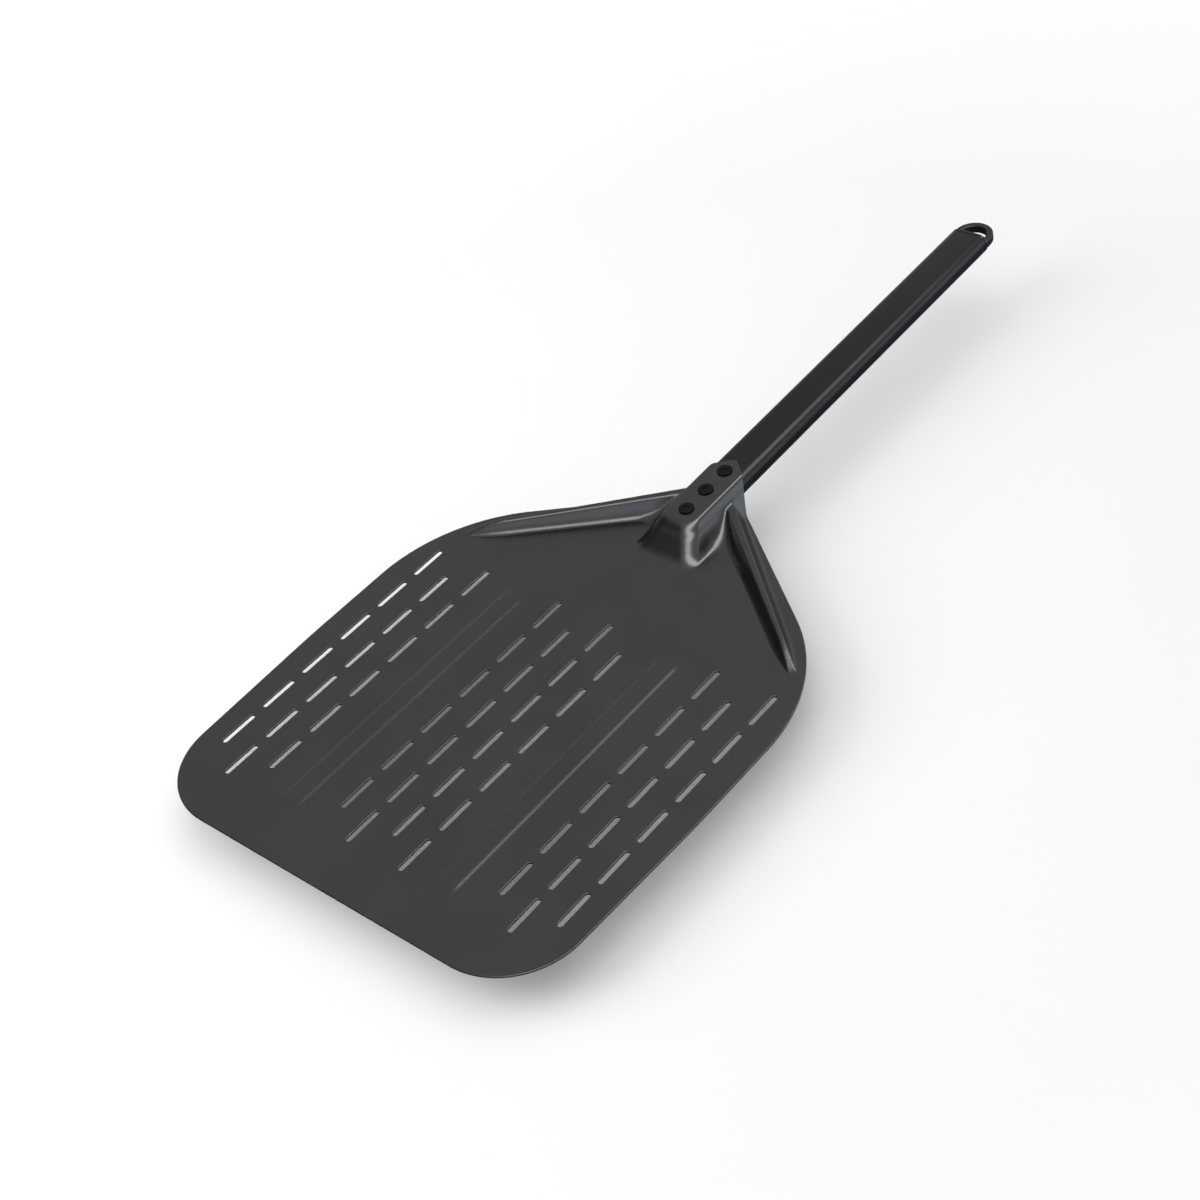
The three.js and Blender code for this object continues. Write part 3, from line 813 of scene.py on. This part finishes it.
def slab(outer, inner, half_thickness, radius, steps=4):
    """Closed flat ring between two loops with the same number of points, its edges rounded."""
    upper = []
    for k in range(steps + 1):
        angle = math.pi / 2 * k / steps
        upper.append((radius * (1 - math.cos(angle)), half_thickness - radius * (1 - math.sin(angle))))
    profile = [(inset, -z) for inset, z in reversed(upper)] + upper
    rings = [(outer - inset * outward(outer), z) for inset, z in profile]
    rings += [(inner + inset * outward(inner), z) for inset, z in reversed(profile)]
    count = len(outer)
    points = [np.column_stack([loop, np.full(count, z)]) for loop, z in rings]
    faces = []
    for k in range(len(rings)):
        faces += ring_faces(k * count, (k + 1) % len(rings) * count, count)
    return np.concatenate(points), faces


def eye_loop(radius, root, arc=40, side=6):
    """D shape: straight root across, two short straights and a half circle."""
    centre = GAP + CAP_FLANGE + EYE_STRAIGHT
    points = []
    for k in range(arc + 1):
        angle = math.pi * k / arc
        points.append((radius * math.cos(angle), centre + radius * math.sin(angle)))
    points += [(-radius, centre + (root - centre) * k / side) for k in range(1, side + 1)]
    points += [(-radius + 2 * radius * k / side, root) for k in range(1, side + 1)]
    points += [(radius, root + (centre - root) * k / side) for k in range(1, side)]
    return np.array(points)


def end_cap():
    """Plug and flange with the hanging eye joined to the flange."""
    plug = TUBE_WALL + GAP
    stations = [(plug + CAP_PLUG_BEVEL, -CAP_PLUG_LENGTH), (plug, CAP_PLUG_BEVEL - CAP_PLUG_LENGTH)]
    stations += [(plug, GAP)]
    stations += rounded_end(GAP, -1, CAP_FRONT_EDGE, 2)
    stations += rounded_end(GAP + CAP_FLANGE, 1, CAP_EDGE)[::-1]
    points, faces = tube_sections(stations, closed_ends=True)
    shift = np.array([0, tube_length, 0])
    cap = smooth_mesh("end_cap_fine", in_tube_frame(points + shift), faces)
    stand_in(cap, ["end_cap"])

    outer = eye_loop(half_tube, GAP + CAP_FLANGE / 2)
    inner = eye_loop(half_tube - EYE_BAND, GAP + CAP_FLANGE + EYE_OFF_FLANGE)
    points, faces = slab(outer, inner, EYE_THICKNESS / 2, EYE_ROUND)
    eye = smooth_mesh("eye", in_tube_frame(points + shift), faces)

    union = cap.modifiers.new("eye", "BOOLEAN")
    union.operation = "UNION"
    union.solver = "EXACT"
    union.object = eye
    shaped = bpy.data.meshes.new_from_object(cap.evaluated_get(bpy.context.evaluated_depsgraph_get()))
    cap.modifiers.clear()
    cap.data = shaped
    bpy.data.objects.remove(eye)
    shaped.shade_smooth()
    sharpen(cap, 40)
    return cap


# ---------------------------------------------------------------- materials

SHEET_SHADE = (0.094, 0.094, 0.094)
TUBE_SHADE = (0.040, 0.040, 0.0405)
EVEN_GRAIN = (1, 1, 1)
GRAIN_ALONG_HANDLE = (1, 0.15, 1)


class Nodes:
    """Short hand for building one node material."""

    def __init__(self, name):
        self.material = bpy.data.materials.new(name)
        self.material.use_nodes = True
        self.tree = self.material.node_tree
        self.shader = self.tree.nodes["Principled BSDF"]
        self.place = self.add("ShaderNodeTexCoord").outputs["Object"]

    def add(self, kind, **values):
        node = self.tree.nodes.new(kind)
        for key, value in values.items():
            setattr(node, key, value)
        return node

    def link(self, source, target):
        self.tree.links.new(source, target)

    def noise(self, scale, detail=3.0, roughness=0.5, stretch=(1, 1, 1)):
        """Noise over the object's own place, in metres."""
        mapping = self.add("ShaderNodeMapping")
        mapping.inputs["Scale"].default_value = stretch
        self.link(self.place, mapping.inputs["Vector"])
        texture = self.add("ShaderNodeTexNoise")
        texture.inputs["Scale"].default_value = scale
        texture.inputs["Detail"].default_value = detail
        texture.inputs["Roughness"].default_value = roughness
        self.link(mapping.outputs["Vector"], texture.inputs["Vector"])
        return texture.outputs["Fac"]

    def ramp(self, source, low, high, start=0.3, end=0.7):
        """A value between low and high as the source goes from start to end."""
        node = self.add("ShaderNodeMapRange")
        node.inputs["From Min"].default_value = start
        node.inputs["From Max"].default_value = end
        node.inputs["To Min"].default_value = low
        node.inputs["To Max"].default_value = high
        self.link(source, node.inputs["Value"])
        return node.outputs["Result"]

    def mix(self, factor, first, second):
        """Colour between two, each a colour or the output of another mix."""
        node = self.add("ShaderNodeMix", data_type="RGBA")
        self.link(factor, node.inputs["Factor"])
        for socket, value in (("A", first), ("B", second)):
            target = next(s for s in node.inputs if s.name == socket and s.type == "RGBA")
            if isinstance(value, tuple):
                target.default_value = (*value, 1)
            else:
                self.link(value, target)
        return next(s for s in node.outputs if s.type == "RGBA")

    def math(self, operation, first, second):
        """Sum or product of two outputs."""
        node = self.add("ShaderNodeMath", operation=operation)
        self.link(first, node.inputs[0])
        self.link(second, node.inputs[1])
        return node.outputs[0]

    def bump(self, layers):
        """Bumps on top of each other, each (height, strength, distance in metres)."""
        previous = None
        for height, strength, distance in layers:
            node = self.add("ShaderNodeBump")
            node.inputs["Strength"].default_value = strength
            node.inputs["Distance"].default_value = distance
            self.link(height, node.inputs["Height"])
            if previous is not None:
                self.link(previous, node.inputs["Normal"])
            previous = node.outputs["Normal"]
        self.link(previous, self.shader.inputs["Normal"])

    def base_colour(self, source):
        self.link(source, self.shader.inputs["Base Color"])

    def roughness(self, source):
        self.link(source, self.shader.inputs["Roughness"])

    def set(self, **values):
        """Constants on the shader's own sockets."""
        for key, value in values.items():
            self.shader.inputs[key.replace("_", " ")].default_value = value


def scaled(shade, factor):
    """A colour made darker or brighter."""
    return tuple(channel * factor for channel in shade)


def anodised(name, shade, grain, roughness, wear):
    """Hard anodised aluminium: fine grain and faint clouding, and with wear, edges rubbed brighter."""
    nodes = Nodes(name)
    nodes.set(Metallic=1.0)
    clouds = nodes.noise(scale=18, detail=3, roughness=0.55)
    specks = nodes.noise(scale=2600, detail=2, roughness=0.6, stretch=grain)
    colour = nodes.mix(nodes.ramp(clouds, 0, 1), scaled(shade, 0.93), scaled(shade, 1.06))
    colour = nodes.mix(nodes.ramp(specks, 0, 0.3, start=0.5, end=0.8), colour, scaled(shade, 1.22))
    if wear:
        at_edge = nodes.add("ShaderNodeAttribute", attribute_name="wear").outputs["Fac"]
        patches = nodes.ramp(nodes.noise(scale=160, detail=4, roughness=0.6), 0.1, 0.7)
        colour = nodes.mix(nodes.math("MULTIPLY", at_edge, patches), colour, scaled(shade, 1.9))
    nodes.base_colour(colour)
    smudges = nodes.ramp(nodes.noise(scale=34, detail=5, roughness=0.62), roughness - 0.02, roughness + 0.02)
    nodes.roughness(nodes.math("ADD", smudges, nodes.ramp(specks, -0.03, 0.03)))
    nodes.bump([(clouds, 0.1, 0.0002), (specks, 0.08, 0.00003)])
    return nodes.material


def black_rivet():
    """Matt black paint of the rivets' bodies."""
    nodes = Nodes("black_rivet_paint")
    nodes.set(Metallic=0.0, Specular_IOR_Level=0.05)
    clouds = nodes.noise(scale=500, detail=3)
    nodes.base_colour(nodes.mix(clouds, (0.004, 0.004, 0.0045), (0.009, 0.009, 0.0095)))
    nodes.roughness(nodes.ramp(nodes.noise(scale=900, detail=3), 0.42, 0.54))
    nodes.bump([(nodes.noise(scale=3000, detail=2), 0.15, 0.00004)])
    return nodes.material


def rivet_steel():
    """Dark zinc-plated steel of the mandrels."""
    nodes = Nodes("dark_zinc_steel")
    nodes.set(Metallic=1.0)
    clouds = nodes.noise(scale=900, detail=4)
    nodes.base_colour(nodes.mix(clouds, (0.012, 0.012, 0.013), (0.03, 0.03, 0.032)))
    nodes.roughness(nodes.ramp(clouds, 0.35, 0.55))
    nodes.bump([(nodes.noise(scale=2500, detail=3), 0.3, 0.00006)])
    return nodes.material


def black_plastic():
    """Glossy black moulding, with scuffs along the handle and a faint moulded waviness."""
    nodes = Nodes("glossy_black_plastic")
    nodes.set(Metallic=0.0, Specular_IOR_Level=0.5)
    clouds = nodes.noise(scale=60, detail=3)
    nodes.base_colour(nodes.mix(clouds, (0.0035, 0.0035, 0.004), (0.007, 0.007, 0.0075)))
    scuffs = nodes.noise(scale=220, detail=5, roughness=0.65, stretch=(1, 0.25, 1))
    nodes.roughness(nodes.ramp(scuffs, 0.16, 0.3))
    waviness = nodes.noise(scale=420, detail=2)
    skin = nodes.noise(scale=2200, detail=2)
    nodes.bump([(waviness, 0.06, 0.0002), (skin, 0.08, 0.00003)])
    return nodes.material


def pale_floor():
    """Pale matt floor that glows more and more away from the object, so that it ends in a white backdrop."""
    nodes = Nodes("pale_floor")
    nodes.set(Roughness=0.9, Specular_IOR_Level=0.1, Emission_Color=(1, 1, 1, 1))
    clouds = nodes.noise(scale=3, detail=3)
    nodes.base_colour(nodes.mix(clouds, (0.60, 0.60, 0.603), (0.62, 0.62, 0.623)))
    distance = nodes.add("ShaderNodeVectorMath", operation="LENGTH")
    nodes.link(nodes.place, distance.inputs[0])
    start, end = FLOOR_CLEAR * MM, FLOOR_RADIUS * MM
    glow = nodes.ramp(distance.outputs["Value"], FLOOR_GLOW, BACKDROP_GLOW, start, end)
    nodes.link(glow, nodes.shader.inputs["Emission Strength"])
    return nodes.material


def finish_with(material, *objects):
    """Give pieces their one material."""
    for obj in objects:
        obj.data.materials.clear()
        obj.data.materials.append(material)


# ---------------------------------------------------------------- camera, floor and light


def camera():
    """Camera that looks down at the peel from the right of its blade."""
    data = bpy.data.cameras.new("camera")
    data.sensor_width = SENSOR_WIDTH
    data.lens = LENS
    data.clip_end = CLIP_END
    obj = bpy.data.objects.new("camera", data)
    turn = Matrix((CAMERA_RIGHT, CAMERA_UP, CAMERA_BACK)).transposed()
    obj.matrix_world = Matrix.Translation(CAMERA_PLACE) @ turn.to_4x4()
    bpy.context.scene.collection.objects.link(obj)
    bpy.context.scene.camera = obj


def floor():
    """Level floor under a dome; only the camera sees it, with the shadows that fall on it."""
    profile = [(FLOOR_RADIUS * k / FLOOR_STEPS, -FLOOR_DROP) for k in range(1, FLOOR_STEPS + 1)]
    for k in range(1, FLOOR_STEPS):
        angle = math.pi / 2 * k / FLOOR_STEPS
        profile.append((FLOOR_RADIUS * math.cos(angle), FLOOR_RADIUS * math.sin(angle) - FLOOR_DROP))
    points = [(0, 0, -FLOOR_DROP), *circles(profile, FLOOR_SIDES)]
    last = len(points) - FLOOR_SIDES
    faces = [(0, 1 + k, 1 + (k + 1) % FLOOR_SIDES) for k in range(FLOOR_SIDES)]
    for first in range(1, last, FLOOR_SIDES):
        faces += ring_faces(first + FLOOR_SIDES, first, FLOOR_SIDES)
    faces.append(tuple(range(last, len(points)))[::-1])
    obj = smooth_mesh("floor", points, faces)
    finish_with(pale_floor(), obj)
    obj.visible_glossy = False
    obj.visible_diffuse = False
    obj.visible_shadow = False


def softbox(name, place, target, size, power):
    """Rectangular light that the camera doesn't see; places in metres, power in watts."""
    data = bpy.data.lights.new(name, "AREA")
    data.shape = "RECTANGLE"
    data.size, data.size_y = size
    data.energy = power
    obj = bpy.data.objects.new(name, data)
    obj.location = place
    obj.rotation_euler = (Vector(target) - Vector(place)).to_track_quat("-Z", "Y").to_euler()
    obj.visible_camera = False
    bpy.context.scene.collection.objects.link(obj)
    return obj


def softboxes():
    """One box that the metal mirrors, and two that only light the matt surfaces and the floor."""
    overhead = softbox("overhead", (0.95, 0.05, 2.55), target=(0.95, 0.05, 0), size=(1.5, 5.1), power=88)
    overhead.visible_diffuse = False
    fill = softbox("fill", (0, 0, 2.5), target=(0, 0, 0), size=(4, 4), power=62)
    fill.visible_glossy = False
    front_left = softbox("front_left", (-1.5, -1.5, 1.3), target=(0, -0.1, 0), size=(2, 1.5), power=46)
    front_left.visible_glossy = False


def surroundings():
    """Even light from all round: dim from the dark side and from below, bluish low down on the right."""
    world = bpy.data.worlds.new("studio")
    world.use_nodes = True
    tree = world.node_tree
    background = tree.nodes["Background"]
    direction = tree.nodes.new("ShaderNodeTexCoord").outputs["Generated"]

    def share(source, span, low, high):
        node = tree.nodes.new("ShaderNodeMapRange")
        node.interpolation_type = "SMOOTHSTEP"
        for name, value in zip(("From Min", "From Max", "To Min", "To Max"), (*span, low, high)):
            node.inputs[name].default_value = value
        tree.links.new(source, node.inputs["Value"])
        return node.outputs["Result"]

    def product(first, second):
        node = tree.nodes.new("ShaderNodeMath")
        node.operation = "MULTIPLY"
        tree.links.new(first, node.inputs[0])
        tree.links.new(second, node.inputs[1])
        return node.outputs[0]

    towards_dark = tree.nodes.new("ShaderNodeVectorMath")
    towards_dark.operation = "DOT_PRODUCT"
    towards_dark.inputs[1].default_value = Vector(DARK_SIDE).normalized()
    tree.links.new(direction, towards_dark.inputs[0])
    apart = tree.nodes.new("ShaderNodeSeparateXYZ")
    tree.links.new(direction, apart.inputs[0])

    around = share(towards_dark.outputs["Value"], DARK_COSINES, STUDIO_STRENGTH, DARK_STRENGTH)
    strength = product(around, share(apart.outputs["Z"], BELOW_Z, BELOW_SHARE, 1))
    tree.links.new(strength, background.inputs["Strength"])

    low_down = share(apart.outputs["Z"], HORIZON_Z, 1, 0)
    to_the_right = share(apart.outputs["X"], HORIZON_X, 0, 1)
    colour = tree.nodes.new("ShaderNodeMix")
    colour.data_type = "RGBA"
    tree.links.new(product(low_down, to_the_right), colour.inputs["Factor"])
    elsewhere, by_horizon = [socket for socket in colour.inputs if socket.type == "RGBA"]
    elsewhere.default_value = (1, 1, 1, 1)
    by_horizon.default_value = (*HORIZON_COLOUR, 1)
    mixed = next(socket for socket in colour.outputs if socket.type == "RGBA")
    tree.links.new(mixed, background.inputs["Color"])
    bpy.context.scene.world = world


# ---------------------------------------------------------------- the scene

camera()
floor()
softboxes()
surroundings()
bpy.context.scene.view_settings.view_transform = "Standard"

head = blade_head()
tube = handle_tube()
rivet_pairs = rivets()
cap = end_cap()

finish_with(anodised("anodised_sheet_fine", SHEET_SHADE, EVEN_GRAIN, roughness=0.27, wear=True), head)
finish_with(anodised("anodised_tube_fine", TUBE_SHADE, GRAIN_ALONG_HANDLE, roughness=0.36, wear=False), tube)
finish_with(black_rivet(), *[body for body, _ in rivet_pairs])
finish_with(rivet_steel(), *[mandrel for _, mandrel in rivet_pairs])
finish_with(black_plastic(), cap)
